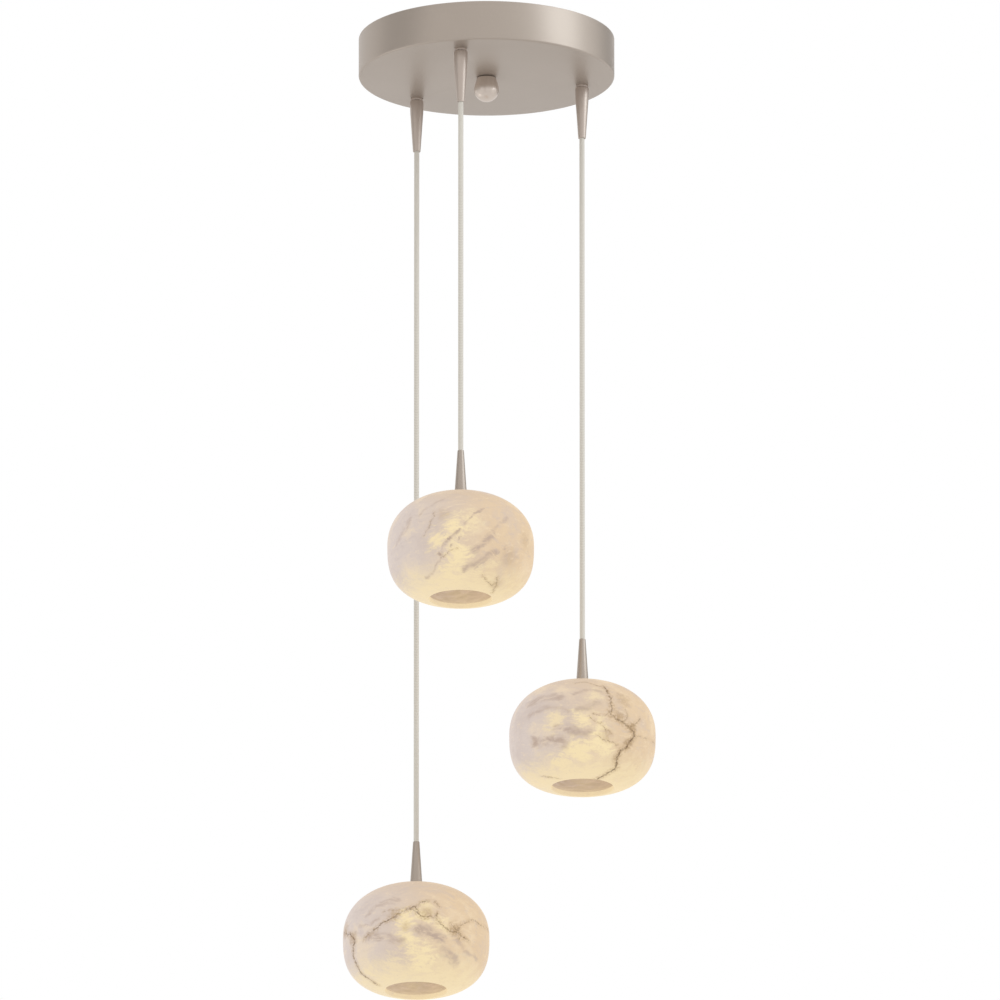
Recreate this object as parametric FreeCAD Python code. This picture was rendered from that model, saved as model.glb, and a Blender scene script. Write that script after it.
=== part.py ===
import FreeCAD, Part
import math
import os

# Three-light cluster pendant. Millimetres, +Z up, origin at the centre of the ceiling plane, everything hangs
# below it. The object is seen from -Y, looking up.

# ---- ceiling canopy: a spun pan, open at the ceiling ----
canopy_radius = 150.0
canopy_height = 46.8
canopy_wall = 1.6
canopy_edge_radius = 2.5

# ---- mounting bar in the canopy: a flanged strap that is screwed to the ceiling box ----
bar_length = 116.0
bar_width = 25.0
bar_thickness = 2.0
bar_flange_depth = 4.0
box_slot_spacing = 88.9
box_slot_width = 5.0
box_slot_length = 20.0

# ---- centre stud, its lock nut, the ball nut that holds the canopy up, and its washer ----
stud_diameter = 9.9
stud_in_ball = 14.0
thread_clearance = 0.05
nut_across_flats = 14.0
nut_height = 4.0
ball_radius = 14.6
ball_centre_drop = 14.8
ball_top_radius = 11.35
ball_bands = 7
ball_washer_radius = 9.5
ball_washer_thickness = 0.8

# ---- ground screw on the bar ----
ground_screw_place = 20.0
ground_screw_radius = 1.9
ground_screw_length = 9.0
ground_head_across_flats = 8.0
ground_head_height = 3.0

# ---- places of the three cords on the canopy, and the drop of each shade's widest plane below the canopy ----
cord_ring_inset = 34.0
pendants = {
    "long": {"angle": 135.0, "drop": 1027.8},
    "short": {"angle": 255.0, "drop": 609.2},
    "middle": {"angle": 15.0, "drop": 796.4},
}

# ---- cord ----
cord_diameter = 6.1
cord_gap = 0.3
cord_running_clearance = 0.1

# ---- upper cone, its collar, and the hollow bush that carries them through the canopy ----
collar_radius = 7.2
collar_height = 2.9
groove_radius = 6.3
groove_height = 0.6
upper_cone_length = 62.0
upper_cone_base_radius = 7.95
upper_cone_shoulder_length = 13.0
upper_cone_shoulder_radius = 7.75
upper_cone_tip_radius = 4.4
bush_diameter = 9.9
bush_bore = 7.0
bush_in_cone = 10.0
bush_above_nut = 6.0
hole_clearance = 0.25
washer_radius = 9.0
washer_thickness = 1.0
clamp_radius = 8.5
clamp_height = 13.5
clamp_clearance = 0.1

# ---- cord tail in the canopy, and the lead connector at its end ----
tail_bend_radius = 18.0
tail_straight = 30.0
tail_turn = 100.0
connector_length = 22.0
connector_width = 11.0
connector_height = 9.0
connector_edge = 1.2

# ---- lower cone ----
lower_cone_length = 53.2
lower_cone_base_radius = 7.25
lower_cone_tip_radius = 3.75
nipple_in_cone = 12.0

# ---- alabaster shade: a squashed ball, its top and bottom halves each a superellipse ----
shade_radius = 85.5
shade_top_height = 63.5
shade_top_power = 2.24
shade_bottom_height = 65.4
shade_bottom_power = 2.85
shade_wall = 5.9
shade_mouth_radius = 36.5
shade_hole_radius = 5.3
outer_top_bands = 6
outer_bottom_bands = 5
inner_top_bands = 4
inner_bottom_bands = 3
seat_washer_radius = 6.9
seat_washer_thickness = 0.8

# ---- pieces inside the shade ----
inner_washer_radius = 14.0
inner_washer_thickness = 1.5
inner_washer_land = 1.0
holder_radius = 11.5
holder_gap = 2.1
holder_height = 27.0
holder_socket_depth = 8.0
holder_skirt_radius = 9.0
holder_skirt_height = 12.0
pin_spacing = 9.0
pin_radius = 0.8
pin_length = 13.0
pin_slot_clearance = 0.35
bulb_base_radius = 7.0
bulb_base_height = 9.0
bulb_cover_radius = 8.0
bulb_cover_height = 38.0
bulb_gap = 0.3

# ---- worked out from the sizes above ----
V = FreeCAD.Vector
cord_ring_radius = canopy_radius - cord_ring_inset
floor_z = -canopy_height + canopy_wall
under_z = -canopy_height
cone_top_z = under_z - collar_height - groove_height
cone_tip_z = cone_top_z - upper_cone_length
bush_bottom_z = cone_top_z - bush_in_cone
nut_bottom_z = floor_z + washer_thickness
nut_top_z = nut_bottom_z + nut_height
bush_top_z = nut_top_z + bush_above_nut
clamp_top_z = nut_top_z + clamp_height
cord_radius = cord_diameter / 2
bush_radius = bush_diameter / 2
stud_radius = stud_diameter / 2
holder_top = shade_top_height - shade_wall - inner_washer_thickness - nut_height - holder_gap
bulb_top = holder_top - holder_height - bulb_gap


def save(name, *solids):
    """Write one node: a single solid, or a group of separate solids."""
    for solid in solids:
        if not solid.isValid() or solid.ShapeType != "Solid":
            raise ValueError(name)
    shape = solids[0] if len(solids) == 1 else Part.Compound(list(solids))
    shape.exportStep(f"parts/{name}.step")


def spun(outline, x=0.0, y=0.0, z=0.0):
    """A solid turned about the vertical through (x, y) from an outline of (radius, height) points."""
    points = [V(r, 0, h) for r, h in outline]
    face = Part.Face(Part.makePolygon(points + points[:1]))
    solid = face.revolve(V(0, 0, 0), V(0, 0, 1), 360)
    solid.translate(V(x, y, z))
    return solid


def rod(radius, low, high, x=0.0, y=0.0):
    return Part.makeCylinder(radius, high - low, V(x, y, low))


def tube(radius, bore, low, high, x=0.0, y=0.0):
    return spun([(bore, low), (radius, low), (radius, high), (bore, high)], x, y)


def hex_nut(across_flats, height, bore, low, x=0.0, y=0.0):
    corner = across_flats / 2 / math.cos(math.pi / 6)
    ring = [V(corner * math.cos(k * math.pi / 3), corner * math.sin(k * math.pi / 3), 0) for k in range(7)]
    nut = Part.Face(Part.makePolygon(ring)).extrude(V(0, 0, height))
    if bore:
        nut = nut.cut(Part.makeCylinder(bore, height))
    nut.translate(V(x, y, low))
    return nut.Solids[0]


def superellipse(radius, height, power, start, end, bands, sign):
    """Points on one half of the shade, from the angle start to the angle end, both from the widest plane."""
    points = []
    for k in range(bands + 1):
        angle = start + (end - start) * k / bands
        r = radius * math.cos(angle) ** (2 / power) if angle < math.pi / 2 else 0.0
        points.append((r, sign * height * math.sin(angle) ** (2 / power)))
    return points


def hole_angle(hole, radius, power):
    return math.acos((hole / radius) ** (power / 2))


# ---------------- canopy and what holds it ----------------
def cord_place(pendant):
    angle = math.radians(pendant["angle"])
    return cord_ring_radius * math.cos(angle), cord_ring_radius * math.sin(angle)


def make_canopy():
    outer = rod(canopy_radius, under_z, 0)
    low_edges = [e for e in outer.Edges if len(e.Vertexes) == 1 and e.BoundBox.ZMax < under_z + 0.01]
    outer = outer.makeFillet(canopy_edge_radius, low_edges)
    inner = rod(canopy_radius - canopy_wall, floor_z, 1)
    pan = outer.cut(inner)
    pan = pan.cut(rod(stud_radius + hole_clearance, under_z - 1, floor_z + 1))
    for pendant in pendants.values():
        x, y = cord_place(pendant)
        pan = pan.cut(rod(bush_radius + hole_clearance, under_z - 1, floor_z + 1, x, y))
    return pan.Solids[0]


def make_bar():
    half = bar_width / 2
    drop = bar_thickness + bar_flange_depth
    outline = [
        (-half, 0), (half, 0), (half, -drop), (half - bar_thickness, -drop),
        (half - bar_thickness, -bar_thickness), (-half + bar_thickness, -bar_thickness),
        (-half + bar_thickness, -drop), (-half, -drop),
    ]
    points = [V(-bar_length / 2, y, z) for y, z in outline]
    bar = Part.Face(Part.makePolygon(points + points[:1])).extrude(V(bar_length, 0, 0))
    bar = bar.cut(rod(stud_radius + thread_clearance, -bar_thickness - 1, 1))
    bar = bar.cut(rod(ground_screw_radius + thread_clearance, -bar_thickness - 1, 1, -ground_screw_place))
    half_run = (box_slot_length - box_slot_width) / 2
    for side in (-1, 1):
        centre = side * box_slot_spacing / 2
        low = -bar_thickness - 1
        slot = Part.makeBox(2 * half_run, box_slot_width, bar_thickness + 2,
                            V(centre - half_run, -box_slot_width / 2, low))
        for end in (-half_run, half_run):
            slot = slot.fuse(rod(box_slot_width / 2, low, low + bar_thickness + 2, centre + end))
        bar = bar.cut(slot.removeSplitter())
    return bar.Solids[0]


def make_ball_nut():
    """A ball with a flat top: a cone from the top's edge meets the ball where it touches it."""
    top = under_z - ball_washer_thickness
    centre = under_z - ball_centre_drop
    rise = top - centre
    reach = math.hypot(ball_top_radius, rise)
    touch = math.atan2(rise, ball_top_radius) - math.acos(ball_radius / reach)
    outline = [(0, top), (ball_top_radius, top)]
    for k in range(ball_bands + 1):
        angle = touch - (touch + math.pi / 2) * k / ball_bands
        outline.append((max(ball_radius * math.cos(angle), 0.0), centre + ball_radius * math.sin(angle)))
    ball = spun(outline)
    return ball.cut(rod(stud_radius + thread_clearance, top - stud_in_ball - 1, top + 1)).Solids[0]


os.makedirs("parts", exist_ok=True)
save("canopy_pan", make_canopy())
save("mounting_bar", make_bar())
save("centre_stud", rod(stud_radius, under_z - ball_washer_thickness - stud_in_ball, 0))
nut_bore = stud_radius + thread_clearance
save("stud_lock_nut", hex_nut(nut_across_flats, nut_height, nut_bore, -bar_thickness - nut_height))
save("ball_nut", make_ball_nut())
save("ball_washer", tube(ball_washer_radius, nut_bore, under_z - ball_washer_thickness, under_z))

ground_head = hex_nut(ground_head_across_flats, ground_head_height, 0,
                      -bar_thickness - ground_head_height, -ground_screw_place)
ground_shank = rod(ground_screw_radius, -bar_thickness, 0, -ground_screw_place)
ground_point = rod(ground_screw_radius, -bar_thickness - ground_screw_length + bar_thickness,
                   -bar_thickness - ground_head_height, -ground_screw_place)
save("ground_screw", ground_head.fuse(ground_shank).fuse(ground_point).removeSplitter().Solids[0])


# ---------------- pieces of one cord at the canopy ----------------
def make_collar(x, y):
    bore = bush_radius + hole_clearance
    step = under_z - collar_height
    return spun([(bore, cone_top_z), (groove_radius, cone_top_z), (groove_radius, step),
                 (collar_radius, step), (collar_radius, under_z), (bore, under_z)], x, y)


def make_upper_cone(x, y):
    """Straight shoulder, then a taper to the tip, with a bore for the cord and a socket for the bush."""
    bore = cord_radius + cord_gap
    shoulder = cone_top_z - upper_cone_shoulder_length
    socket = bush_bottom_z
    socket_radius = bush_radius + thread_clearance
    return spun([
        (bore, cone_tip_z), (upper_cone_tip_radius, cone_tip_z),
        (upper_cone_shoulder_radius, shoulder), (upper_cone_base_radius, cone_top_z),
        (socket_radius, cone_top_z), (socket_radius, socket), (bore, socket),
    ], x, y)


def make_clamp(x, y):
    """Screws over the bush and grips the cord above it."""
    socket_radius = bush_radius + thread_clearance
    bore = cord_radius + clamp_clearance
    return spun([
        (socket_radius, nut_top_z), (clamp_radius, nut_top_z), (clamp_radius, clamp_top_z),
        (bore, clamp_top_z), (bore, bush_top_z), (socket_radius, bush_top_z),
    ], x, y)


def tail_direction(pendant):
    angle = math.radians(pendant["angle"] + tail_turn)
    return V(math.cos(angle), math.sin(angle), 0)


def make_tail(pendant, x, y):
    """The cord inside the canopy: straight up through cone, bush and clamp, then one bend to the connector."""
    way = tail_direction(pendant)
    start = V(x, y, cone_tip_z + cord_radius + cord_gap)
    bend_in = V(x, y, clamp_top_z)
    centre = bend_in + way * tail_bend_radius
    middle = centre + (V(0, 0, 1) - way) * (tail_bend_radius / math.sqrt(2))
    bend_out = centre + V(0, 0, tail_bend_radius)
    end = bend_out + way * tail_straight
    path = Part.Wire([
        Part.LineSegment(start, bend_in).toShape(),
        Part.Arc(bend_in, middle, bend_out).toShape(),
        Part.LineSegment(bend_out, end).toShape(),
    ])
    section = Part.Wire([Part.makeCircle(cord_radius, start, V(0, 0, 1))])
    tail = path.makePipeShell([section], True, False)
    share = tail.Volume / (path.Length * math.pi * cord_radius ** 2)
    print(f"tail length {path.Length:.1f} bend radius {tail_bend_radius} volume share {share:.4f}")
    return (tail if tail.ShapeType == "Solid" else tail.Solids[0]), end, way


def make_connector(end, way):
    """A moulded block at the tail's end, its long side along the tail."""
    box = Part.makeBox(connector_length, connector_width, connector_height,
                       V(0, -connector_width / 2, -connector_height / 2))
    box = box.makeChamfer(connector_edge, [e for e in box.Edges if abs(e.tangentAt(0).x) > 0.9])
    box.rotate(V(0, 0, 0), V(0, 0, 1), math.degrees(math.atan2(way.y, way.x)))
    box.translate(end)
    return box.Solids[0]


# ---------------- pieces of one pendant ----------------
def make_cord(x, y, bottom):
    """Straight, with its top end rounded about the point where it swings, clear of the tail above."""
    dome = [(cord_radius * math.cos(k * math.pi / 8), cord_radius * math.sin(k * math.pi / 8)) for k in range(4)]
    dome.append((0.0, cord_radius))
    outline = [(0, bottom), (cord_radius, bottom)] + [(r, cone_tip_z + h) for r, h in dome]
    cord = spun(outline, x, y)
    run = cone_tip_z - bottom
    print(f"cord run {run:.1f} straight, volume share {cord.Volume / (run * math.pi * cord_radius ** 2):.4f}")
    return cord


def make_lower_cone(x, y, seat):
    bore = cord_radius + cord_running_clearance
    socket_radius = bush_radius + thread_clearance
    return spun([
        (socket_radius, seat), (lower_cone_base_radius, seat), (lower_cone_tip_radius, seat + lower_cone_length),
        (bore, seat + lower_cone_length), (bore, seat + nipple_in_cone), (socket_radius, seat + nipple_in_cone),
    ], x, y)


def make_shade(x, y, z):
    """A shell with a small hole in its top for the nipple, and the round mouth straight through its bottom."""
    start = hole_angle(shade_mouth_radius, shade_radius, shade_bottom_power)
    end = hole_angle(shade_hole_radius, shade_radius, shade_top_power)
    bottom = superellipse(shade_radius, shade_bottom_height, shade_bottom_power, start, 0, outer_bottom_bands, -1)
    top = superellipse(shade_radius, shade_top_height, shade_top_power, 0, end, outer_top_bands, 1)
    top[-1] = (top[-1][0], shade_top_height)
    outside = bottom + top[1:]
    radius = shade_radius - shade_wall
    low, high = shade_bottom_height - shade_wall, shade_top_height - shade_wall
    start = hole_angle(shade_mouth_radius, radius, shade_bottom_power)
    end = hole_angle(inner_washer_radius + inner_washer_land, radius, shade_top_power)
    bottom = superellipse(radius, low, shade_bottom_power, start, 0, inner_bottom_bands, -1)
    top = superellipse(radius, high, shade_top_power, 0, end, inner_top_bands, 1)
    top[-1] = (top[-1][0], high)
    inside = bottom + top[1:] + [(shade_hole_radius, high)]
    return spun(outside + inside[::-1], x, y, z)


def make_holder(x, y, z):
    """Ceramic lampholder: a body, a narrower skirt below, a socket for the nipple and two deep pin holes."""
    top = z + holder_top
    low = top - holder_height
    step = low + holder_skirt_height
    socket = top - holder_socket_depth
    socket_radius = bush_radius + thread_clearance
    holder = spun([
        (0, low), (holder_skirt_radius, low), (holder_skirt_radius, step), (holder_radius, step),
        (holder_radius, top), (socket_radius, top), (socket_radius, socket), (0, socket),
    ], x, y)
    for side in (-1, 1):
        hole = rod(pin_radius + pin_slot_clearance, low - 1, low + pin_length + 1, x + side * pin_spacing / 2, y)
        holder = holder.cut(hole)
    return holder.Solids[0]


def make_bulb_base(x, y, z):
    top = z + bulb_top
    base = rod(bulb_base_radius, top - bulb_base_height, top, x, y)
    for side in (-1, 1):
        pin = rod(pin_radius, top - 1, top + bulb_gap + pin_length, x + side * pin_spacing / 2, y)
        base = base.fuse(pin)
    return base.removeSplitter().Solids[0]


def make_bulb_cover(x, y, z):
    """Frosted cover: a straight wall with a rounded end, from four bands."""
    top = z + bulb_top - bulb_base_height
    low = top - bulb_cover_height
    outline = [(0, top), (bulb_cover_radius, top)]
    for k in range(5):
        angle = k * math.pi / 8
        r = max(bulb_cover_radius * math.cos(angle), 0.0)
        outline.append((r, low + bulb_cover_radius * (1 - math.sin(angle))))
    return spun(outline, x, y)


nuts, washers = [], []
for name, pendant in pendants.items():
    x, y = cord_place(pendant)
    z = under_z - pendant["drop"]
    save(f"cone_collar_{name}", make_collar(x, y))
    save(f"upper_cone_{name}", make_upper_cone(x, y))
    save(f"cord_bush_{name}", tube(bush_radius, bush_bore / 2, bush_bottom_z, bush_top_z, x, y))
    save(f"cord_clamp_{name}", make_clamp(x, y))
    nuts.append(hex_nut(nut_across_flats, nut_height, bush_radius + thread_clearance, nut_bottom_z, x, y))
    washers.append(tube(washer_radius, bush_radius + thread_clearance, floor_z, nut_bottom_z, x, y))
    tail, end, way = make_tail(pendant, x, y)
    save(f"cord_tail_{name}", tail)
    save(f"lead_connector_{name}", make_connector(end, way))

    seat = z + shade_top_height + seat_washer_thickness
    nipple_low = z + holder_top - holder_socket_depth
    cord_bottom = nipple_low + cord_gap
    save(f"cord_{name}", make_cord(x, y, cord_bottom))
    save(f"lower_cone_{name}", make_lower_cone(x, y, seat))
    save(f"seat_washer_{name}", tube(seat_washer_radius, bush_radius + hole_clearance,
                                     z + shade_top_height, seat, x, y))
    save(f"shade_nipple_{name}", tube(bush_radius, bush_bore / 2, nipple_low, seat + nipple_in_cone, x, y))
    save(f"shade_{name}", make_shade(x, y, z))
    under_top = z + shade_top_height - shade_wall
    save(f"inner_washer_{name}", tube(inner_washer_radius, bush_radius + thread_clearance,
                                      under_top - inner_washer_thickness, under_top, x, y))
    save(f"shade_nut_{name}", hex_nut(nut_across_flats, nut_height, bush_radius + thread_clearance,
                                      under_top - inner_washer_thickness - nut_height, x, y))
    save(f"lampholder_{name}", make_holder(x, y, z))
    save(f"bulb_base_{name}", make_bulb_base(x, y, z))
    save(f"bulb_cover_{name}", make_bulb_cover(x, y, z))

save("bush_nuts", *nuts)
save("bush_washers", *washers)
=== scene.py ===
import math

import bmesh
import bpy
from mathutils import Matrix, Vector


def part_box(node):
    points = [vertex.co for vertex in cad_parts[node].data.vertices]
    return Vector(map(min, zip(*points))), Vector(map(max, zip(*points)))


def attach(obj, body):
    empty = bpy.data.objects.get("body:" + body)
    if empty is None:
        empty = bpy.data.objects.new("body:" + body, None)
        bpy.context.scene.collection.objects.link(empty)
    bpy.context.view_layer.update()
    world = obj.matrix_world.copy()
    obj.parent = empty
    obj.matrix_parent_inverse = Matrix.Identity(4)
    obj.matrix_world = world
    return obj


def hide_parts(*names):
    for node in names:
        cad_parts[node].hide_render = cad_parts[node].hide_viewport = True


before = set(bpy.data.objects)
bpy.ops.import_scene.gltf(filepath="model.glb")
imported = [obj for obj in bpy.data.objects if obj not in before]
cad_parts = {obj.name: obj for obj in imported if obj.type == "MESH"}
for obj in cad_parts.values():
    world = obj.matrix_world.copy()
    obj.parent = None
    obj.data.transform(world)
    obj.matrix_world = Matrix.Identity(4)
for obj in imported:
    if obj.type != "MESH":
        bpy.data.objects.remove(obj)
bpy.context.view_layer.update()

mm = 0.001
scene = bpy.context.scene
print("frame loaded,", len(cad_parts), "nodes")


# camera: below the lamp, looking up at it through a very long lens
camera = {"lens": 1296.0, "distance": 42.084, "tiltUp": 16.9, "lookAt": (0.0158, 0.0, -0.5646)}


def placeCamera(c):
    tilt = math.radians(c["tiltUp"])
    data = bpy.data.cameras.new("camera")
    data.sensor_width = 36
    data.lens = c["lens"]
    data.clip_end = 300
    obj = bpy.data.objects.new("camera", data)
    way = Vector((0, math.cos(tilt), math.sin(tilt)))
    obj.location = Vector(c["lookAt"]) - way * c["distance"]
    obj.rotation_euler = way.to_track_quat("-Z", "Y").to_euler()
    scene.collection.objects.link(obj)
    scene.camera = obj


placeCamera(camera)


def tint(red, green, blue):
    # a colour as a picture editor gives it, from 0 to 255
    shares = (red / 255, green / 255, blue / 255)
    return tuple(c / 12.92 if c < 0.0405 else ((c + 0.055) / 1.055) ** 2.4 for c in shares)


# node maths written as sums on sockets
class Socket:
    def __init__(self, finish, socket):
        self.finish = finish
        self.socket = socket

    def sum(self, operation, *terms):
        values = {i: term for i, term in enumerate(terms)}
        return self.finish.node("ShaderNodeMath", {"operation": operation}, values)

    def __add__(self, other):
        return self.sum("ADD", self, other)

    def __radd__(self, other):
        return self.sum("ADD", other, self)

    def __sub__(self, other):
        return self.sum("SUBTRACT", self, other)

    def __rsub__(self, other):
        return self.sum("SUBTRACT", other, self)

    def __mul__(self, other):
        return self.sum("MULTIPLY", self, other)

    def __rmul__(self, other):
        return self.sum("MULTIPLY", other, self)

    def sine(self):
        return self.sum("SINE", self)

    def least(self, other):
        return self.sum("MINIMUM", self, other)

    def most(self, other):
        return self.sum("MAXIMUM", self, other)

    def ramp(self, low, high, start=0.0, end=1.0):
        # a soft step from start to end as the value goes from low to high
        return self.finish.node("ShaderNodeMapRange", {"interpolation_type": "SMOOTHSTEP", "clamp": False},
                                {"Value": self, "From Min": low, "From Max": high,
                                 "To Min": start, "To Max": end})


class Finish:
    def __init__(self, name):
        self.material = bpy.data.materials.new(name)
        self.material.use_nodes = True
        self.tree = self.material.node_tree
        self.shader = self.tree.nodes["Principled BSDF"]

    def node(self, kind, settings=None, inputs=None, output=0):
        made = self.tree.nodes.new(kind)
        for key, value in (settings or {}).items():
            setattr(made, key, value)
        for key, value in (inputs or {}).items():
            self.feed(made.inputs[key], value)
        return Socket(self, made.outputs[output])

    def feed(self, socket, value):
        if isinstance(value, Socket):
            self.tree.links.new(value.socket, socket)
        elif socket.type == "RGBA" and len(value) == 3:
            socket.default_value = (*value, 1)
        else:
            socket.default_value = value

    def place(self, centre=(0, 0, 0)):
        return self.vector("SUBTRACT", self.node("ShaderNodeTexCoord", output="Object"), centre)

    def noise(self, where, scale, detail=3.0, rough=0.5, bend=0.0, output="Fac"):
        return self.node("ShaderNodeTexNoise", inputs={"Vector": where, "Scale": scale, "Detail": detail,
                                                       "Roughness": rough, "Distortion": bend},
                         output=output)

    def mix(self, share, first, second, blend="MIX"):
        return self.node("ShaderNodeMix", {"data_type": "RGBA", "blend_type": blend},
                         {0: share, 6: first, 7: second}, output=2)

    def vector(self, operation, first, second, output=0):
        return self.node("ShaderNodeVectorMath", {"operation": operation}, {0: first, 1: second},
                         output=output)

    def bump(self, height, depth, strength=1.0):
        made = self.node("ShaderNodeBump", inputs={"Height": height, "Distance": depth,
                                                   "Strength": strength})
        self.feed(self.shader.inputs["Normal"], made)

    def set(self, **sockets):
        for key, value in sockets.items():
            name = "".join(" " + c if c.isupper() else c for c in key).replace("I O R", "IOR")
            self.feed(self.shader.inputs[name[0].upper() + name[1:]], value)
        return self.material


def dress(obj, material):
    obj.data.materials.clear()
    obj.data.materials.append(material)


# metals and small plain finishes
def satinMetal(name, dark, light, metallic, gloss, shine=0.5):
    f = Finish(name)
    where = f.place()
    cloud = f.noise(where, 9.0, 2.0)
    grain = f.noise(where, 2600.0, 2.0, 0.6)
    speck = f.mix(cloud.ramp(0.3, 0.7) * 0.3 + grain.ramp(0.35, 0.75) * 0.7, dark, light)
    f.bump(grain, 0.00004, 0.35)
    return f.set(baseColor=speck, metallic=metallic, roughness=gloss + 0.08 * grain, specularIORLevel=shine)


def zincSteel():
    f = Finish("zincSteel")
    where = f.place()
    flake = f.noise(where, 160.0, 3.0, 0.6)
    grain = f.noise(where, 1500.0)
    tone = f.mix(flake.ramp(0.35, 0.65), (0.42, 0.44, 0.46), (0.62, 0.62, 0.60))
    f.bump(grain, 0.00003, 0.4)
    return f.set(baseColor=tone, metallic=1.0, roughness=0.26 + 0.22 * flake)


def dyedSteel():
    f = Finish("dyedSteel")
    where = f.place()
    wear = f.noise(where, 420.0, 4.0, 0.65)
    tone = f.mix(wear.ramp(0.58, 0.72), (0.02, 0.14, 0.035), (0.16, 0.27, 0.14))
    f.bump(wear, 0.00004, 0.4)
    return f.set(baseColor=tone, metallic=0.8, roughness=0.32 + 0.2 * wear)


# a felt washer, made near black so that it also paints the shadow line between the ball nut and the canopy
def darkFelt():
    f = Finish("darkFelt")
    where = f.place()
    fuzz = f.noise(where, 900.0, 4.0, 0.7, 1.2)
    tone = f.mix(fuzz, (0.018, 0.014, 0.011), (0.075, 0.06, 0.048))
    f.bump(fuzz, 0.0002, 0.8)
    return f.set(baseColor=tone, roughness=0.95, sheenWeight=0.3)


def whiteNylon():
    f = Finish("whiteNylon")
    where = f.place()
    cloud = f.noise(where, 60.0)
    grain = f.noise(where, 1100.0, 2.0)
    tone = f.mix(cloud, (0.60, 0.59, 0.54), (0.72, 0.71, 0.67))
    f.bump(grain, 0.00004, 0.5)
    return f.set(baseColor=tone, roughness=0.42 + 0.12 * cloud, subsurfaceWeight=0.05)


def clearSilicone():
    f = Finish("clearSilicone")
    where = f.place()
    cloud = f.noise(where, 180.0)
    tone = f.mix(cloud, (0.46, 0.43, 0.38), (0.62, 0.59, 0.54))
    f.bump(cloud, 0.00004, 0.4)
    return f.set(baseColor=tone, roughness=0.30 + 0.15 * cloud)


def whiteCeramic():
    f = Finish("whiteCeramic")
    where = f.place()
    grit = f.noise(where, 1300.0, 4.0, 0.7)
    cloud = f.noise(where, 70.0)
    tone = f.mix(cloud, (0.66, 0.62, 0.54), (0.78, 0.76, 0.70))
    f.bump(grit, 0.00008, 0.6)
    return f.set(baseColor=tone, roughness=0.62 + 0.2 * grit)


def frostedLamp():
    f = Finish("frostedLamp")
    where = f.place()
    frost = f.noise(where, 1500.0, 2.0)
    cloud = f.noise(where, 90.0)
    glow = f.mix(cloud, (1.0, 0.78, 0.48), (1.0, 0.84, 0.58))
    f.bump(frost, 0.00003, 0.5)
    return f.set(baseColor=(0.85, 0.82, 0.74), emissionColor=glow, emissionStrength=1.6,
                 roughness=0.35 + 0.15 * frost)


# woven cord cover: two sets of threads cross in opposite spirals, on the cord's own length and turn
weaving = {"pitch": 0.0058, "threads": 6.0, "rise": 2.0, "fibres": 60.0, "fibreRise": 9.0, "depth": 0.00018}


def cordCloth(name, length):
    f = Finish(name)
    w = weaving
    uv = f.node("ShaderNodeTexCoord", output="UV")
    along = f.node("ShaderNodeSeparateXYZ", inputs={0: uv}, output="X") * (length / w["pitch"])
    around = f.node("ShaderNodeSeparateXYZ", inputs={0: uv}, output="Y")
    leftWay = ((around * w["threads"] + along * w["rise"]) * (2 * math.pi)).sine()
    rightWay = ((around * w["threads"] - along * w["rise"]) * (2 * math.pi)).sine()
    weave = (leftWay * rightWay) * 0.5 + 0.5
    fibre = ((around * w["fibres"] + along * w["fibreRise"]) * (2 * math.pi)).sine() * 0.5 + 0.5
    cloud = f.noise(f.place(), 24.0, 3.0)
    base = f.mix(weave.ramp(0.1, 0.9), tint(208, 201, 189), tint(238, 233, 223))
    tone = f.mix(cloud * 0.3, base, tint(220, 213, 201))
    f.bump(weave * 0.8 + fibre * 0.2, w["depth"], 0.7)
    return f.set(baseColor=tone, roughness=0.82 + 0.1 * weave, sheenWeight=0.35, sheenRoughness=0.5)


# one satin nickel in three tints: the pan's darker tint is painted shade, and the ball's lighter tint is
# painted light
finishes = {
    "pan": satinMetal("panNickelShadedTint", tint(173, 161, 150), tint(184, 172, 161), 0.60, 0.36, 0.2),
    "nickel": satinMetal("satinNickel", tint(184, 170, 159), tint(196, 183, 173), 0.60, 0.34),
    "ball": satinMetal("ballNickelLitTint", tint(206, 192, 180), tint(218, 206, 196), 0.60, 0.27),
    "zinc": zincSteel(), "green": dyedSteel(), "felt": darkFelt(),
    "nylon": whiteNylon(), "silicone": clearSilicone(), "ceramic": whiteCeramic(), "lamp": frostedLamp(),
}
print("plain finishes ready")


# where each pendant hangs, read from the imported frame
def middleOf(node):
    low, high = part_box(node)
    return (Vector(low) + Vector(high)) / 2


pendants = {}
for cordName in ("long", "short", "middle"):
    centre = middleOf("upper_cone_" + cordName)
    pendants[cordName] = {
        "x": centre.x, "y": centre.y,
        "coneTop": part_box("upper_cone_" + cordName)[1][2],
        "coneTip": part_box("upper_cone_" + cordName)[0][2],
        "shadeTop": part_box("shade_" + cordName)[1][2],
        "lowerTip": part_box("lower_cone_" + cordName)[1][2],
        "lowerSeat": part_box("lower_cone_" + cordName)[0][2],
        "cordLow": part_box("cord_" + cordName)[0][2],
        "clampTop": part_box("cord_clamp_" + cordName)[1][2],
        "connector": middleOf("lead_connector_" + cordName),
    }


# cords: straight and taut between the cones, and a bent tail in the canopy
cordSizes = {"width": 6.1 * mm, "bend": 18.0 * mm, "straight": 30.0 * mm, "bendPull": 17.3 * mm,
             "tailStart": 3.5 * mm, "hangStart": 2.0 * mm, "rings": 6}


def curveThrough(name, points, width):
    data = bpy.data.curves.new(name, "CURVE")
    data.dimensions = "3D"
    data.bevel_depth = width / 2
    data.bevel_resolution = cordSizes["rings"]
    data.use_fill_caps = True
    data.resolution_u = 16
    line = data.splines.new("NURBS")
    line.points.add(len(points) - 1)
    for spot, point in zip(line.points, points):
        spot.co = (*point, 1)
    line.order_u = 3
    line.use_endpoint_u = True
    obj = bpy.data.objects.new(name, data)
    scene.collection.objects.link(obj)
    return obj


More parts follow.
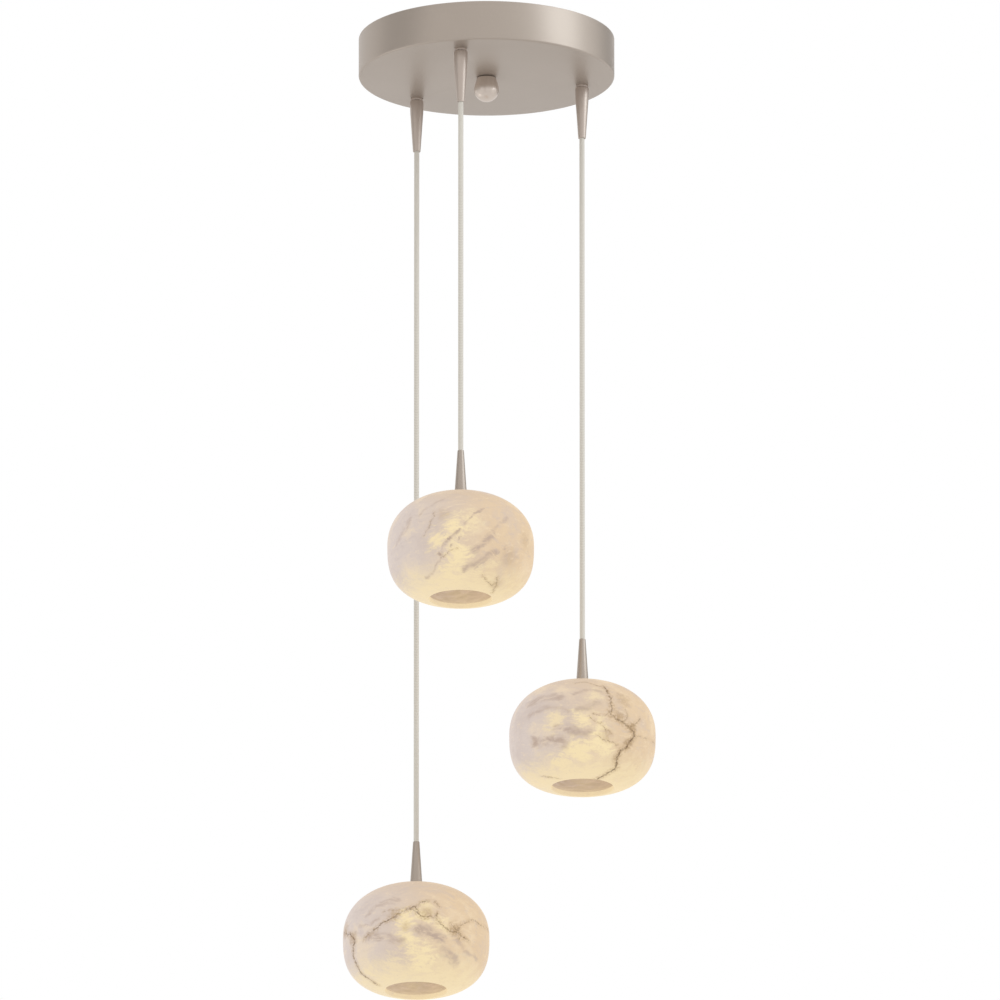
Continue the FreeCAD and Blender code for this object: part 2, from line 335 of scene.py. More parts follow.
def hangCord(key, p):
    c = cordSizes
    top = Vector((p["x"], p["y"], p["coneTip"] + c["hangStart"]))
    low = Vector((p["x"], p["y"], p["cordLow"]))
    points = [top.lerp(low, share) for share in (0, 0.05, 0.5, 0.95, 1)]
    length = (top - low).length
    cord = curveThrough("hangingCord_" + key, points, c["width"])
    dress(cord, cordCloth("cordCloth_" + key, length))
    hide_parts("cord_" + key)
    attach(cord, "cord_" + key)


def bendTail(key, p):
    c = cordSizes
    centre = Vector((p["x"], p["y"], 0))
    way = p["connector"] - centre
    way.z = 0
    way.normalize()
    start = Vector((p["x"], p["y"], p["coneTip"] + c["tailStart"]))
    corner = Vector((p["x"], p["y"], p["clampTop"] + c["bend"]))
    end = corner + way * (c["bend"] + c["straight"])
    up = Vector((0, 0, 1))
    points = [start, corner - up * (2 * c["bendPull"]), corner, corner + way * (2 * c["bendPull"]), end]
    run = (corner.z - start.z) - c["bend"] + c["bend"] * math.pi / 2 + c["straight"]
    tail = curveThrough("cordTail_" + key, points, c["width"])
    dress(tail, cordCloth("tailCloth_" + key, run))
    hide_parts("cord_tail_" + key)
    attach(tail, "canopy")


for cordName, pendant in pendants.items():
    hangCord(cordName, pendant)
    bendTail(cordName, pendant)
print("cords hung")


# a turned piece: an outline of (radius, height, rounding) is spun about its own upright axis
def turned(name, outline, centre, steps, rounding=3):
    shape = bmesh.new()
    ring = [shape.verts.new((r * mm, 0, z * mm)) for r, z, _ in outline]
    edges = [shape.edges.new((a, b)) for a, b in zip(ring, ring[1:] + ring[:1])]
    bmesh.ops.spin(shape, geom=ring + edges, cent=(0, 0, 0), axis=(0, 0, 1), angle=2 * math.pi,
                   steps=steps, use_merge=True, use_duplicate=False)
    bmesh.ops.remove_doubles(shape, verts=shape.verts, dist=0.000001)
    bmesh.ops.dissolve_degenerate(shape, edges=shape.edges, dist=0.000001)
    for width in sorted({w for _, _, w in outline if w}):
        corners = [(r, z) for r, z, w in outline if w == width]
        rim = [e for e in shape.edges if all(onRing(v, corners) for v in e.verts) and level(e)]
        bmesh.ops.bevel(shape, geom=rim, offset=width * mm, affect="EDGES", segments=rounding,
                        profile=0.5, material=-1)
    bmesh.ops.recalc_face_normals(shape, faces=shape.faces)
    bmesh.ops.translate(shape, verts=shape.verts, vec=Vector(centre))
    for face in shape.faces:
        face.smooth = True
    data = bpy.data.meshes.new(name)
    shape.to_mesh(data)
    shape.free()
    obj = bpy.data.objects.new(name, data)
    scene.collection.objects.link(obj)
    return obj


def onRing(vert, corners):
    r, z = math.hypot(vert.co.x, vert.co.y) / mm, vert.co.z / mm
    return any(abs(r - cornerR) < 0.003 and abs(z - cornerZ) < 0.003 for cornerR, cornerZ in corners)


def level(edge):
    return abs(edge.verts[0].co.z - edge.verts[1].co.z) < 1e-7


def creased(obj, degrees=32.0):
    # flats stay flat and corners stay crisp
    data = obj.data
    shape = bmesh.new()
    shape.from_mesh(data)
    for edge in shape.edges:
        edge.smooth = edge.calc_face_angle(0.0) < math.radians(degrees)
    shape.to_mesh(data)
    shape.free()
    return obj


def finishPiece(obj, material, slotName, body, *nodes):
    dress(obj, material)
    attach(obj, body)
    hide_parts(*nodes)


# canopy pan, with its lower edge softly rounded
canopy = {"radius": 150.0, "height": 46.8, "wall": 1.6, "edge": 2.5, "innerEdge": 0.9, "lip": 0.5,
          "hole": 5.2, "steps": 256}


def makeCanopy(c):
    inner = c["radius"] - c["wall"]
    floor = -c["height"] + c["wall"]
    outline = [
        (c["hole"], -c["height"], 0), (c["radius"], -c["height"], c["edge"]), (c["radius"], 0, c["lip"]),
        (inner, 0, c["lip"]), (inner, floor, c["innerEdge"]), (c["hole"], floor, 0),
    ]
    pan = turned("canopyPan", outline, (0, 0, 0), c["steps"], 6)
    drills = []
    for p in pendants.values():
        cutter = bmesh.new()
        bmesh.ops.create_cone(cutter, cap_ends=True, segments=48, radius1=c["hole"] * mm,
                              radius2=c["hole"] * mm, depth=0.01)
        bmesh.ops.translate(cutter, verts=cutter.verts, vec=(p["x"], p["y"], -c["height"] * mm))
        data = bpy.data.meshes.new("drill")
        cutter.to_mesh(data)
        cutter.free()
        drill = bpy.data.objects.new("drill", data)
        scene.collection.objects.link(drill)
        cut = pan.modifiers.new("cut", "BOOLEAN")
        cut.operation = "DIFFERENCE"
        cut.solver = "EXACT"
        cut.object = drill
        drills.append(drill)
    graph = bpy.context.evaluated_depsgraph_get()
    cutMesh = bpy.data.meshes.new_from_object(pan.evaluated_get(graph))
    pan.modifiers.clear()
    pan.data = cutMesh
    for drill in drills:
        bpy.data.objects.remove(drill)
    creased(pan)
    finishPiece(pan, finishes["pan"], "satin_nickel", "canopy", "canopy_pan")


makeCanopy(canopy)
print("canopy spun")


# ball nut under the canopy's middle: a ball that meets a flat top in a short cone
ball = {"radius": 14.6, "drop": 14.8, "top": 11.35, "washer": 0.8, "bore": 5.0, "stud": 14.3,
        "rings": 26, "steps": 72}


def makeBallNut(b):
    top = -canopy["height"] - b["washer"]
    centre = -canopy["height"] - b["drop"]
    rise = top - centre
    touch = math.atan2(rise, b["top"]) - math.acos(b["radius"] / math.hypot(b["top"], rise))
    outline = [(b["bore"], top, 0), (b["top"], top, 0.6)]
    for k in range(b["rings"] + 1):
        angle = touch - (touch + math.pi / 2) * k / b["rings"]
        outline.append((max(b["radius"] * math.cos(angle), 0), centre + b["radius"] * math.sin(angle), 0))
    outline += [(0, top - b["stud"], 0), (b["bore"], top - b["stud"], 0)]
    nut = creased(turned("ballNut", outline, (0, 0, 0), b["steps"]))
    # painted light: the ball takes the lighter tint of the same nickel
    finishPiece(nut, finishes["ball"], "satin_nickel", "canopy", "ball_nut")


makeBallNut(ball)


# collars and cones at both ends of each cord
collar = {"radius": 7.2, "height": 2.9, "groove": 6.3, "step": 0.6, "bore": 5.2, "steps": 64}
upperCone = {"length": 62.0, "base": 7.95, "shoulder": 13.0, "waist": 7.75, "tip": 4.4, "bore": 3.35,
             "socket": 5.0, "socketDepth": 10.0, "steps": 64}
lowerCone = {"length": 53.2, "base": 7.25, "tip": 3.75, "bore": 3.15, "socket": 5.0, "socketDepth": 12.0,
             "steps": 64}


def makeCollar(key, p, c):
    top = c["height"] + c["step"]
    outline = [
        (c["bore"], 0, 0), (c["groove"], 0, 0), (c["groove"], c["step"], 0),
        (c["radius"], c["step"], 0.45), (c["radius"], top, 0.2), (c["bore"], top, 0),
    ]
    piece = creased(turned("coneCollar_" + key, outline, (p["x"], p["y"], p["coneTop"]), c["steps"]))
    finishPiece(piece, finishes["nickel"], "satin_nickel", "canopy", "cone_collar_" + key)


def makeUpperCone(key, p, c):
    outline = [
        (c["bore"], -c["length"], 0.25), (c["tip"], -c["length"], 0.4),
        (c["waist"], -c["shoulder"], 4.0), (c["base"], 0, 0.5),
        (c["socket"], 0, 0), (c["socket"], -c["socketDepth"], 0), (c["bore"], -c["socketDepth"], 0),
    ]
    piece = creased(turned("upperCone_" + key, outline, (p["x"], p["y"], p["coneTop"]), c["steps"], 4))
    finishPiece(piece, finishes["nickel"], "satin_nickel", "canopy", "upper_cone_" + key)


def makeLowerCone(key, p, c):
    outline = [
        (c["socket"], 0, 0), (c["base"], 0, 0.4), (c["tip"], c["length"], 0.3),
        (c["bore"], c["length"], 0.2), (c["bore"], c["socketDepth"], 0), (c["socket"], c["socketDepth"], 0),
    ]
    piece = creased(turned("lowerCone_" + key, outline, (p["x"], p["y"], p["lowerSeat"]), c["steps"], 4))
    # painted shade: the lower cones take the pan's darker tint of the same nickel
    finishPiece(piece, finishes["pan"], "satin_nickel", "shade_" + key, "lower_cone_" + key)


for cordName, pendant in pendants.items():
    makeCollar(cordName, pendant, collar)
    makeUpperCone(cordName, pendant, upperCone)
    makeLowerCone(cordName, pendant, lowerCone)
print("cones and ball nut turned")


# alabaster: honed stone; the lamp's light through it is painted as a glow into its colour and emission
shade = {"radius": 85.5, "topHeight": 63.5, "topPower": 2.24, "lowHeight": 65.4, "lowPower": 2.85,
         "wall": 5.9, "mouth": 36.5, "hole": 5.3, "washer": 15.0, "mouthRound": 0.9,
         "rows": 42, "innerRows": 28, "steps": 200}

# Marks in the stone. A place on it is (longitude, height): degrees to the right of the front, and
# millimetres above the widest plane. A vein or streak is (width, strength, places), and a brown cloud
# or a light is (longitude, height, reach, strength).
# the lights are patches of painted glow, where the lamp inside shines through brighter; the veins, streaks and
# brown clouds are the stone's own
marks = {
    "middle": {
        "veins": [
            (1.3, 0.95, [(21, 40), (23, 27), (24, 11), (22, 4), (26, -1), (34, -5), (44, -14),
                         (46, -18), (42, -23), (39, -32), (34, -37), (33, -45), (38, -54),
                         (34, -58), (25, -63)]),
            (0.9, 0.55, [(40, -10), (47, -2), (51, 4)]),
            (0.8, 0.45, [(34, -5), (38, 3), (36, 12)]),
            (0.7, 0.4, [(46, -18), (59, -16), (80, -14), (110, -20)]),
            (0.8, 0.5, [(-59, -58), (-49, -60), (-40, -62)]),
            (0.7, 0.45, [(-8, 45), (2, 47), (13, 42), (20, 36)]),
            (0.6, 0.55, [(5, -2), (10, -7), (14, -9), (19, -17), (24, -20)]),
            (0.6, 0.45, [(11, -23), (19, -29), (26, -30), (36, -37)]),
            (0.6, 0.45, [(22, 4), (16, 0), (8, 2)]),
            (1.0, 0.7, [(120, 30), (135, 12), (150, -6), (172, -14), (190, -30), (205, -52)]),
        ],
        "streaks": [
            (9.5, 0.9, [(-44, -25), (-34, -28), (-24, -29), (-16, -31)]),
            (8.0, 0.85, [(-20, -14), (-12, -15), (-2, -20), (4, -21)]),
            (6.0, 0.7, [(-4, 7), (6, 11), (14, 16)]),
            (8.0, 0.65, [(-50, 22), (-34, 26), (-18, 25)]),
            (5.0, 0.5, [(-48, 8), (-30, 12), (-12, 6)]),
            (4.5, 0.6, [(-8, 28), (4, 32), (16, 30)]),
            (8.0, 0.5, [(150, 20), (175, 28), (200, 10)]),
            (7.0, 0.5, [(90, -30), (110, -20), (130, -30)]),
        ],
        "browns": [
            (31, 3, 12, 0.65), (42, -9, 10, 0.95), (40, -29, 9, 0.85), (36, 24, 16, 0.45),
            (20, -23, 12, 0.5), (32, -46, 8, 0.5), (150, -4, 14, 0.6),
        ],
        "lights": [
            (-2, -42, 34, 1.0), (-19, -52, 26, 0.9), (0, -4, 24, 0.95), (14, -32, 28, 1.0),
            (-22, -4, 22, 0.75), (60, -52, 22, 0.7), (10, 24, 18, 0.6), (14, -12, 18, 0.8),
            (180, -40, 26, 0.7), (120, -46, 24, 0.6),
        ],
        "slant": -0.1, "drift": 0.6,
    },
    "long": {
        "veins": [
            (1.0, 0.8, [(-46, -18), (-41, -14), (-32, -8), (-23, 0), (-17, 2), (-12, 7), (-6, 11),
                        (-1, 15)]),
            (0.9, 0.8, [(-1, 14), (1, 7), (5, 1), (11, 3), (15, 2), (17, 7)]),
            (0.8, 0.6, [(0, 16), (7, 22), (16, 21), (19, 15)]),
            (0.7, 0.6, [(-26, 10), (-17, 12), (-8, 12), (2, 9)]),
            (0.9, 0.75, [(15, 2), (17, -2), (22, -9), (27, -12), (34, -13), (40, -17), (47, -20)]),
            (0.8, 0.6, [(34, -11), (40, 0), (51, 7), (62, 4), (79, 6), (100, -2)]),
            (0.7, 0.55, [(28, -4), (33, -9), (38, -14), (36, -22)]),
            (1.1, 0.85, [(-80, 2), (-64, -6), (-57, -14), (-59, -20), (-64, -30), (-64, -39),
                         (-68, -50), (-66, -56), (-71, -61)]),
            (0.9, 0.6, [(130, 34), (148, 18), (160, 20), (176, -2), (190, -8), (215, -36)]),
        ],
        "streaks": [
            (9.0, 0.95, [(1, -13), (9, -17), (20, -23)]),
            (8.0, 0.75, [(-40, -18), (-24, -21), (-12, -27)]),
            (8.0, 0.65, [(22, -34), (32, -42), (42, -48)]),
            (5.5, 0.5, [(-44, 12), (-30, 20), (-14, 24)]),
            (5.0, 0.5, [(36, -24), (48, -32), (62, -36)]),
            (4.0, 0.5, [(-50, -2), (-40, -2), (-30, 4)]),
            (6.0, 0.5, [(160, -20), (185, -30), (205, -12)]),
            (6.0, 0.4, [(80, 20), (100, 10), (120, 24)]),
        ],
        "browns": [
            (-17, 6, 11, 0.5), (8, 8, 11, 0.55), (32, -9, 13, 0.65), (-60, -12, 12, 0.6),
            (-74, 3, 13, 0.55), (-8, -10, 8, 0.45), (165, 6, 14, 0.5),
        ],
        "lights": [
            (-8, -4, 22, 1.0), (-4, -26, 24, 1.0), (4, -44, 34, 1.0), (12, -56, 26, 0.9),
            (-20, -50, 26, 0.7), (20, -6, 17, 0.9), (4, 4, 16, 0.9), (9, 14, 13, 0.8),
            (180, -44, 26, 0.7), (110, -46, 22, 0.6),
        ],
        "slant": 0.22, "drift": -0.5,
    },
    "short": {
        "veins": [
            (0.7, 0.45, [(22, -52), (33, -57), (48, -59)]),
            (0.8, 0.6, [(40, -52), (46, -57), (60, -62)]),
            (0.6, 0.4, [(-22, 20), (-22, 14), (-25, 2), (-30, -8)]),
            (0.5, 0.5, [(-17, -36), (-10, -30), (-2, -26)]),
            (0.9, 0.6, [(140, 26), (158, 8), (170, -12), (190, -22), (210, -50)]),
        ],
        "streaks": [
            (3.6, 1.0, [(-18, -33), (-10, -21), (-1, -6)]),
            (2.6, 0.95, [(-7, -26), (4, -8)]),
            (2.6, 0.85, [(3, 2), (11, 13), (20, 24)]),
            (6.0, 0.8, [(10, -28), (14, -21), (27, -8)]),
            (5.5, 0.75, [(4, -48), (13, -41), (28, -28)]),
            (3.0, 0.6, [(-38, -54), (-26, -46), (-16, -34)]),
            (3.0, 0.55, [(14, -46), (24, -36), (36, -22)]),
            (4.0, 0.5, [(20, -10), (30, 2), (40, 14)]),
            (4.0, 0.5, [(-34, 20), (-24, 32), (-10, 42)]),
            (6.0, 0.45, [(-62, -8), (-50, 4), (-44, 16)]),
            (6.0, 0.5, [(150, -24), (172, 0), (190, 22)]),
            (6.0, 0.4, [(95, -30), (110, -6), (124, 12)]),
        ],
        "browns": [
            (47, -57, 13, 0.45), (-14, 16, 13, 0.3), (44, -30, 18, 0.35), (62, -5, 16, 0.3),
            (165, -5, 16, 0.5),
        ],
        "lights": [
            (-6, -3, 27, 1.0), (-2, -36, 27, 1.0), (-11, -52, 26, 0.9), (-18, -16, 20, 0.9),
            (19, -52, 22, 0.8), (8, 8, 19, 0.7), (30, -42, 16, 0.6), (180, -44, 26, 0.7),
            (-110, -46, 22, 0.6),
        ],
        "slant": -0.88, "drift": 0.9,
    },
}

# left, right and top are painted light and shade: paler and cooler on the left, warmer on the right, darker at
# the top; glow is the painted glow of the lamp inside, and inner is painted shade in the hollow
stone = {
    "left": tint(218, 204, 196), "right": tint(227, 200, 165), "top": tint(209, 184, 156),
    "glow": tint(250, 229, 184), "grey": tint(186, 164, 149), "lilac": tint(203, 187, 179),
    "brown": tint(176, 146, 108), "vein": tint(108, 82, 55), "cream": tint(246, 224, 190),
    "inner": tint(186, 164, 138),
    "bodyShare": 0.34, "glowShare": 0.68, "insideShare": 0.67,  # how much is lit, and how much glows
}

texture = {
    "bendScale": 42.0, "bendBy": 0.018,  # how far streaks and lights wander
    "tearScale": 150.0, "tearBy": 0.0105,  # how ragged the veins run
    "waveScale": 26.0, "waveBy": 0.03, "featherStretch": (60, 90, 230),
    "cloudScale": 19.0, "gritScale": 380.0, "fadeScale": 70.0,
    "threadWidth": 1.5, "stainWidth": 6.0,  # times the width given for the vein
    # how the painted glow of the lamp inside rises from the mouth
    "lowRise": 18.0, "lowStart": 0.45, "relief": 0.0004,
}


def skinPoint(longitude, height):
    # the place of a mark on the outer skin
    s = shade
    power, tall = (s["topPower"], s["topHeight"]) if height > 0 else (s["lowPower"], s["lowHeight"])
    height = max(min(height, tall * 0.98), -tall * 0.98)
    r = s["radius"] * (1 - (abs(height) / tall) ** power) ** (1 / power)
    a = math.radians(longitude)
    return Vector((r * math.sin(a), -r * math.cos(a), height)) * mm


def nearLine(f, where, places):
    # how far a place is from the nearest piece of a bent line
    points = [skinPoint(*place) for place in places]
    found = None
    for a, b in zip(points, points[1:]):
        run = b - a
        offset = f.vector("SUBTRACT", where, tuple(a))
        share = f.vector("DOT_PRODUCT", offset, tuple(run / run.length_squared), output="Value")
        held = share.most(0.0).least(1.0)
        reach = f.node("ShaderNodeVectorMath", {"operation": "SCALE"}, {0: tuple(run), "Scale": held})
        gap = f.vector("DISTANCE", offset, reach, output="Value")
        found = gap if found is None else found.least(gap)
    return found


def strongest(masks):
    # takes the masks one at a time, so that the shader never has to hold them all
    found = None
    for mask in masks:
        found = mask if found is None else found.most(mask)
    return found


def patch(f, where, spot, ragged):
    # full in the middle, with an edge that the ragged noise tears
    longitude, height, reach, share = spot
    gap = f.vector("DISTANCE", where, tuple(skinPoint(longitude, height)), output="Value")
    return (1.0 - gap * (1 / (reach * mm)) + ragged).ramp(0.0, 0.9, 0.0, share)


def patches(f, where, spots, ragged):
    return strongest(patch(f, where, spot, ragged) for spot in spots)


def streak(f, where, mark, ragged):
    width, share, places = mark
    return (1.0 - nearLine(f, where, places) * (1 / (width * mm)) + ragged).ramp(0.0, 1.0, 0.0, share)


def shifted(f, where, noise, amount):
    # moves places about by a coloured noise
    centred = f.vector("SUBTRACT", noise, (0.5, 0.5, 0.5))
    step = f.node("ShaderNodeVectorMath", {"operation": "SCALE"}, {0: centred, "Scale": amount})
    return f.vector("ADD", where, step)


def alabaster(key, p, inside=False):
    f = Finish("alabasterInside_" + key if inside else "alabaster_" + key)
    kind = marks[key]
    where = f.place((p["x"], p["y"], p["shadeMiddle"]))
    seed = f.vector("ADD", where, (7.3 * kind["drift"], 1.7, 3.1 * kind["drift"]))
    t = texture
    bent = shifted(f, where, f.noise(seed, t["bendScale"], 4.0, 0.6, output="Color"), t["bendBy"])
    rough = shifted(f, where, f.noise(seed, t["tearScale"], 6.0, 0.78, output="Color"), t["tearBy"])
    across = f.node("ShaderNodeSeparateXYZ", inputs={0: where}, output="X")
    height = f.node("ShaderNodeSeparateXYZ", inputs={0: where}, output="Z")

    # feathers: fine strokes that lean one way, and the soft drifts behind them
    waved = shifted(f, seed, f.noise(seed, t["waveScale"], 2.0, 0.5, output="Color"), t["waveBy"])
    lean = f.node("ShaderNodeMapping", {"vector_type": "POINT"},
                  {"Vector": waved, "Rotation": (0, kind["slant"], 0), "Scale": t["featherStretch"]})
    feather = f.noise(lean, 1.0, 5.0, 0.66)
    cloud = f.noise(seed, t["cloudScale"], 5.0, 0.6, 0.4)
    grit = f.noise(seed, t["gritScale"], 4.0, 0.7)
    torn = (feather - 0.5) * 2.2 + (cloud - 0.5) * 0.8 + (grit - 0.5) * 0.6

    # painted light: paler and cooler on the left, warmer on the right
    body = f.mix(across.ramp(-0.082, 0.060), stone["left"], stone["right"])
    # painted shade: darker towards the top, where less light reaches
    body = f.mix(height.ramp(0.026, 0.062, 0.0, 0.75), body, stone["top"])
    body = f.mix(cloud.ramp(0.50, 0.66, 0.0, 0.45), body, stone["cream"])
    body = f.mix(cloud.ramp(0.50, 0.32, 0.0, 0.40), body, stone["lilac"])
    body = f.mix(feather.ramp(0.52, 0.66, 0.0, 0.35), body, stone["lilac"])
    # painted glow of the lamp inside: brighter towards the mouth and in the light patches
    low = (height * -t["lowRise"] - t["lowStart"] + torn * 0.35).ramp(0.1, 0.75, 0.0, 0.85)
    bright = patches(f, bent, kind["lights"], torn * 1.1 - 0.06)
    body = f.mix(low.most(bright), body, stone["glow"])
    body = f.mix(feather.ramp(0.44, 0.32, 0.0, 0.35), body, stone["cream"])

    # grey-lilac streaks and brown clouds
    soft = torn * 0.45
    streaks = strongest(streak(f, bent, mark, soft) for mark in kind["streaks"])
    body = f.mix(streaks * feather.ramp(0.34, 0.60, 0.35, 1.0), body, stone["grey"])
    browns = patches(f, rough, kind["browns"], torn * 0.6)
    body = f.mix(browns * grit.ramp(0.30, 0.60, 0.45, 1.0), body, stone["brown"])

    # veins: a broken dark thread in a speckled stain
    fade = f.noise(seed, t["fadeScale"], 3.0, 0.6).ramp(0.34, 0.58, 0.50, 1.0)
    thread, stain = None, None
    for width, share, places in kind["veins"]:
        line = nearLine(f, rough, places)
        dark = line.ramp(width * t["threadWidth"] * mm, 0.2 * mm, 0.0, share)
        wide = line.ramp(width * t["stainWidth"] * mm, 0.4 * mm, 0.0, share * 0.8)
        thread = dark if thread is None else thread.most(dark)
        stain = wide if stain is None else stain.most(wide)
    body = f.mix(stain * grit.ramp(0.42, 0.60, 0.1, 1.0), body, stone["brown"])
    body = f.mix(thread * fade * grit.ramp(0.32, 0.50, 0.6, 1.0), body, stone["vein"])
    body = f.mix(grit.ramp(0.54, 0.72, 0.0, 0.22), body, stone["cream"])
    body = f.mix(grit.ramp(0.46, 0.28, 0.0, 0.22), body, stone["lilac"])
    # painted shade: the hollow's copy is mixed towards a darker grey-beige in a mottled pattern
    if inside:
        body = f.mix(feather.ramp(0.36, 0.66, 0.25, 0.65), body, stone["inner"])

    f.bump(cloud * 0.7 + grit * 0.3, t["relief"], 0.35)
    # painted light: a share of the stone's colour goes into its emission as the lamp's glow through it, a
    # smaller share on the inside as painted shade
    share = stone["insideShare"] if inside else stone["glowShare"]
    lit = f.mix(1.0, body, (share,) * 3, "MULTIPLY")
    plain = f.mix(1.0, body, (stone["bodyShare"],) * 3, "MULTIPLY")
    return f.set(baseColor=plain, emissionColor=lit, emissionStrength=1.0, roughness=0.50 + 0.14 * cloud,
                 specularIORLevel=0.3)


def skinRow(radius, tall, power, start, end, rows, sign):
    # one quarter of the shade's outline, a rounded curve between circle and square
    found = []
    for k in range(rows + 1):
        a = start + (end - start) * k / rows
        found.append((radius * max(math.cos(a), 0) ** (2 / power), sign * tall * math.sin(a) ** (2 / power), 0))
    return found


def skinAngle(r, radius, power):
    return math.acos((r / radius) ** (power / 2))


def makeShade(key, p, s):
    mouthAngle = skinAngle(s["mouth"], s["radius"], s["lowPower"])
    holeAngle = skinAngle(s["hole"], s["radius"], s["topPower"])
    outside = skinRow(s["radius"], s["lowHeight"], s["lowPower"], mouthAngle, 0, s["rows"], -1)
    outside += skinRow(s["radius"], s["topHeight"], s["topPower"], 0, holeAngle, s["rows"], 1)[1:]
    outside[0] = (*outside[0][:2], s["mouthRound"])
    # the same outline one wall further in
    radius = s["radius"] - s["wall"]
    low, high = s["lowHeight"] - s["wall"], s["topHeight"] - s["wall"]
    mouthAngle = skinAngle(s["mouth"], radius, s["lowPower"])
    washerAngle = skinAngle(s["washer"], radius, s["topPower"])
    inside = skinRow(radius, low, s["lowPower"], mouthAngle, 0, s["innerRows"], -1)
    inside += skinRow(radius, high, s["topPower"], 0, washerAngle, s["innerRows"], 1)[1:]
    inside[0] = (*inside[0][:2], s["mouthRound"])
    inside[-1] = (s["washer"], high, 0)
    outline = outside + [(s["hole"], high, 0)] + inside[::-1]
    place = Vector((p["x"], p["y"], p["shadeMiddle"]))
    obj = creased(turned("alabasterShade_" + key, outline, place, s["steps"], 4), 40.0)
    finishPiece(obj, alabaster(key, p), "alabaster", "shade_" + key, "shade_" + key)
    obj.data.materials.append(alabaster(key, p, True))
    # the hollow gets the stone's shaded side, down to the cut of the mouth
    cut = inside[0][1] * mm
    for face in obj.data.polygons:
        spot = face.center - place
        if face.normal.dot(spot) < 0 and spot.z > cut - 0.0005:
            face.material_index = 1


for cordName, pendant in pendants.items():
    pendant["shadeMiddle"] = pendant["shadeTop"] - shade["topHeight"] * mm
    makeShade(cordName, pendant, shade)
    print("shade turned:", cordName)


# lamp cover with a rounded end
lamp = {"radius": 8.0, "height": 38.0, "rings": 12, "steps": 48}


def makeLamp(key, p, c):
    low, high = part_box("bulb_cover_" + key)
    outline = [(0, c["height"], 0), (c["radius"], c["height"], 0.4)]
    for k in range(c["rings"] + 1):
        a = math.pi / 2 * k / c["rings"]
        outline.append((max(c["radius"] * math.cos(a), 0), c["radius"] * (1 - math.sin(a)), 0))
    piece = turned("lampCover_" + key, outline, (p["x"], p["y"], low[2]), c["steps"])
    finishPiece(piece, finishes["lamp"], "frosted_lamp", "bulb_" + key, "bulb_cover_" + key)


for cordName, pendant in pendants.items():
    makeLamp(cordName, pendant, lamp)
print("lamps placed")


# finishes of the pieces that keep their own shape
carried = {
    "mounting_bar": "zinc", "centre_stud": "zinc", "stud_lock_nut": "zinc", "ball_washer": "felt",
    "ground_screw": "green", "bush_nuts": "zinc", "bush_washers": "zinc", "cord_bush": "zinc",
    "cord_clamp": "nylon", "lead_connector": "nylon", "seat_washer": "silicone", "shade_nipple": "zinc",
    "inner_washer": "silicone", "shade_nut": "zinc", "lampholder": "ceramic", "bulb_base": "ceramic",
}
for nodeName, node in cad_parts.items():
    base = nodeName.rsplit("_", 1)[0] if nodeName.rsplit("_", 1)[-1] in pendants else nodeName
    if base in carried:
        dress(node, finishes[carried[base]])
print("carried pieces dressed")


# floor, world and lamps
room = {"floorDrop": -2.3, "floorRadius": 2.6, "ambient": 0.80,
        "bandPower": 28.0, "bandSize": (1.9, 2.2), "bandFrom": (2.7, -1.0, 0.9), "bandTint": (0.84, 0.93, 1.0),
        "lowPower": 2.5, "lowSize": (0.7, 0.7), "lowFrom": (-2.1, 0.3, -1.7), "lowTint": (1.0, 0.98, 0.95),
        "aim": (0, 0, -0.1), "lowAim": (0, 0, -0.05), "boardAim": (0, 0, -0.02),
        "boards": [((1.0, 1.1), (-2.4, -0.25, 0.75), 0.50), ((0.8, 1.1), (1.9, 2.0, 0.8), 0.30)]}


def makeFloor(r):
    shape = bmesh.new()
    bmesh.ops.create_circle(shape, cap_ends=True, segments=96, radius=r["floorRadius"])
    bmesh.ops.translate(shape, verts=shape.verts, vec=(0, 0, r["floorDrop"]))
    data = bpy.data.meshes.new("floor")
    shape.to_mesh(data)
    shape.free()
    floor = bpy.data.objects.new("floor", data)
    scene.collection.objects.link(floor)
    f = Finish("paleFloor")
    f.set(baseColor=(0.80, 0.80, 0.79), roughness=0.9)
    rays = f.node("ShaderNodeLightPath", output="Is Camera Ray")
    gloss = f.node("ShaderNodeLightPath", output="Is Glossy Ray")
    under = f.node("ShaderNodeNewGeometry", output="Backfacing")
    white = f.node("ShaderNodeEmission", inputs={"Color": (1, 1, 1), "Strength": 1.0})
    clear = f.node("ShaderNodeBsdfTransparent")
    plain = Socket(f, f.shader.outputs[0])
    shown = f.node("ShaderNodeMixShader", inputs={0: rays.most(gloss), 1: plain, 2: white})
    both = f.node("ShaderNodeMixShader", inputs={0: under, 1: shown, 2: clear})
    f.feed(f.tree.nodes["Material Output"].inputs["Surface"], both)
    dress(floor, f.material)


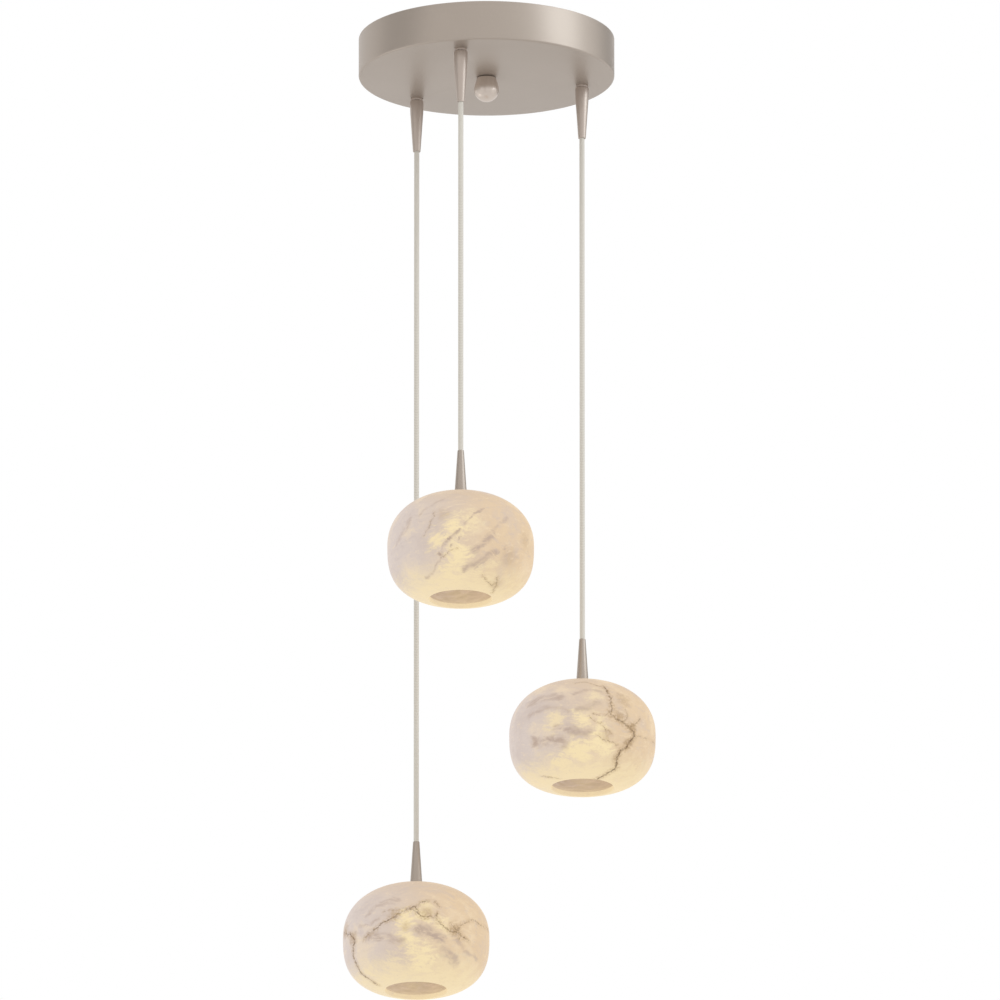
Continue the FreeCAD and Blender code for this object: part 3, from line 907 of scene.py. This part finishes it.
def makeWorld(r):
    world = bpy.data.worlds.new("room")
    world.use_nodes = True
    scene.world = world
    nodes, links = world.node_tree.nodes, world.node_tree.links
    path = nodes.new("ShaderNodeLightPath")
    direct = None
    for ray in ("Is Camera Ray", "Is Glossy Ray", "Is Transmission Ray"):
        if direct is None:
            direct = path.outputs[ray]
            continue
        either = nodes.new("ShaderNodeMath")
        either.operation = "MAXIMUM"
        links.new(direct, either.inputs[0])
        links.new(path.outputs[ray], either.inputs[1])
        direct = either.outputs[0]
    bright = nodes.new("ShaderNodeMapRange")
    links.new(direct, bright.inputs["Value"])
    bright.inputs["To Min"].default_value = r["ambient"]
    bright.inputs["To Max"].default_value = 1.0
    back = nodes["Background"]
    back.inputs["Color"].default_value = (1, 1, 1, 1)
    links.new(bright.outputs[0], back.inputs["Strength"])


def makeBoard(name, size, place, grey):
    # a grey board beside the lamp, which shows as a darker band in the metal
    shape = bmesh.new()
    bmesh.ops.create_grid(shape, x_segments=1, y_segments=1, size=1)
    bmesh.ops.scale(shape, vec=(*size, 1), verts=shape.verts)
    turn = (Vector(room["boardAim"]) - Vector(place)).to_track_quat("Z", "Y").to_matrix().to_4x4()
    bmesh.ops.transform(shape, matrix=Matrix.Translation(place) @ turn, verts=shape.verts)
    data = bpy.data.meshes.new(name)
    shape.to_mesh(data)
    shape.free()
    board = bpy.data.objects.new(name, data)
    scene.collection.objects.link(board)
    f = Finish(name)
    glow = f.node("ShaderNodeEmission", inputs={"Color": (grey, grey, grey), "Strength": 1.0})
    f.feed(f.tree.nodes["Material Output"].inputs["Surface"], glow)
    dress(board, f.material)
    board.visible_camera = False
    board.visible_diffuse = False
    board.visible_shadow = False


def areaLamp(name, power, size, place, target, colour):
    data = bpy.data.lights.new(name, "AREA")
    data.shape = "RECTANGLE"
    data.size, data.size_y = size
    data.energy = power
    data.color = colour
    obj = bpy.data.objects.new(name, data)
    obj.location = place
    obj.rotation_euler = (Vector(target) - Vector(place)).to_track_quat("-Z", "Y").to_euler()
    scene.collection.objects.link(obj)


makeFloor(room)
makeWorld(room)
for i, (boardSize, boardPlace, boardGrey) in enumerate(room["boards"]):
    makeBoard(f"greyBoard{i}", boardSize, boardPlace, boardGrey)
areaLamp("bandLamp", room["bandPower"], room["bandSize"], room["bandFrom"], room["aim"], room["bandTint"])
areaLamp("lowLamp", room["lowPower"], room["lowSize"], room["lowFrom"], room["lowAim"], room["lowTint"])
scene.view_settings.view_transform = "Standard"
print("room lit")
